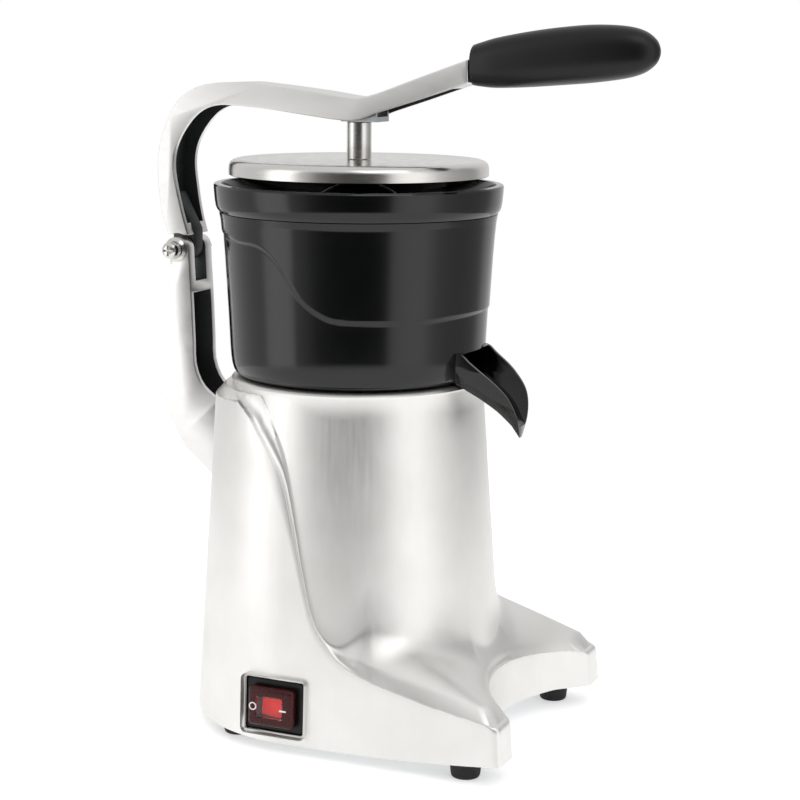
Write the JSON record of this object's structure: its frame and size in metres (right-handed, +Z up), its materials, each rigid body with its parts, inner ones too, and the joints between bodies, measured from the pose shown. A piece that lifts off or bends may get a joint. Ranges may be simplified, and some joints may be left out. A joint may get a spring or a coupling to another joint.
{
  "type": "lever citrus press",
  "caption": "Motor-driven lever citrus press: cast housing on two legs, black bowl with spout, and a hinged arm that presses a steel lid onto a turning cone.",
  "frame": {"origin": "centre of the footprint box at the height of the feet's undersides", "axes": "+Z up, -Y towards the spout and the lever's grip, -X towards the side with the switch"},
  "size_m": [0.2156, 0.362, 0.4891],
  "materials": {
    "cast_aluminium": "satin brushed casting",
    "polished_aluminium": "polished casting",
    "stainless_steel": "polished, fine spun lines",
    "zinc_plated_steel": "zinc plated",
    "motor_steel": "grey paint",
    "gloss_black_plastic": "gloss moulding",
    "satin_black_plastic": "satin moulding",
    "black_rubber": "matt",
    "white_plastic": "semi-gloss moulding",
    "red_plastic": "gloss, lit from behind",
    "dark_red_plastic": "clear soft cover"
  },
  "bodies": {
    "press_frame": {"base_housing": "cast_aluminium", "base_plate": "zinc_plated_steel", "foot_front_left": "black_rubber", "foot_front_right": "black_rubber", "foot_back_left": "black_rubber", "foot_back_right": "black_rubber", "foot_screw_front_left": "zinc_plated_steel", "foot_screw_front_right": "zinc_plated_steel", "foot_screw_back_left": "zinc_plated_steel", "foot_screw_back_right": "zinc_plated_steel", "motor_mount": "zinc_plated_steel", "motor_screw_1": "zinc_plated_steel", "motor_screw_2": "zinc_plated_steel", "motor_screw_3": "zinc_plated_steel", "motor_screw_4": "zinc_plated_steel", "motor_can": "motor_steel", "motor_stator": "zinc_plated_steel", "motor_end_bell": "cast_aluminium", "upper_bearing": "stainless_steel", "lower_bearing": "stainless_steel", "shaft_seal": "black_rubber", "run_capacitor": "satin_black_plastic", "cord_gland": "black_rubber", "juice_bowl": "gloss_black_plastic", "strainer": "stainless_steel", "arm_bracket": "cast_aluminium", "bracket_bolt_upper": "zinc_plated_steel", "bracket_bolt_lower": "zinc_plated_steel", "pivot_screw": "stainless_steel", "pivot_nut": "zinc_plated_steel", "pivot_washer_left": "gloss_black_plastic", "pivot_washer_right": "gloss_black_plastic", "switch_plate": "satin_black_plastic", "switch_body": "satin_black_plastic", "switch_cover": "dark_red_plastic"},
    "drive": {"motor_shaft": "stainless_steel", "cooling_fan": "satin_black_plastic", "reamer_cone": "white_plastic"},
    "lever": {"press_arm": "polished_aluminium", "handle_grip": "satin_black_plastic", "grip_screw": "zinc_plated_steel", "stem_pin": "stainless_steel", "stem_guide": "zinc_plated_steel"},
    "presser": {"press_lid": "stainless_steel", "press_cup": "satin_black_plastic", "press_stem": "stainless_steel", "stem_nut": "stainless_steel"},
    "rocker": {"rocker_button": "red_plastic"}
  },
  "joints": [
    {"name": "lever_pivot", "type": "hinge", "parent": "press_frame", "child": "lever", "pos_m": [0.00307, 0.16646, 0.3296], "axis": [-1, 0, 0], "range_deg": [0, 75]},
    {"name": "lid_swing", "type": "hinge", "parent": "lever", "child": "presser", "pos_m": [0.00307, 0.03096, 0.4306], "axis": [-1, 0, 0], "range_deg": [-15, 0]},
    {"name": "reamer_spin", "type": "hinge", "parent": "press_frame", "child": "drive", "pos_m": [0.00307, 0.03096, 0.3], "axis": [0, 0, 1], "continuous": true},
    {"name": "rocker_tilt", "type": "hinge", "parent": "press_frame", "child": "rocker", "pos_m": [-0.09888, 0.04456, 0.03344], "axis": [0.045, 0, 0.999], "range_deg": [0, 16]}
  ],
  "couplings": [
    {"joint": "lid_swing", "follows": "lever_pivot", "ratio": -0.2}
  ]
}
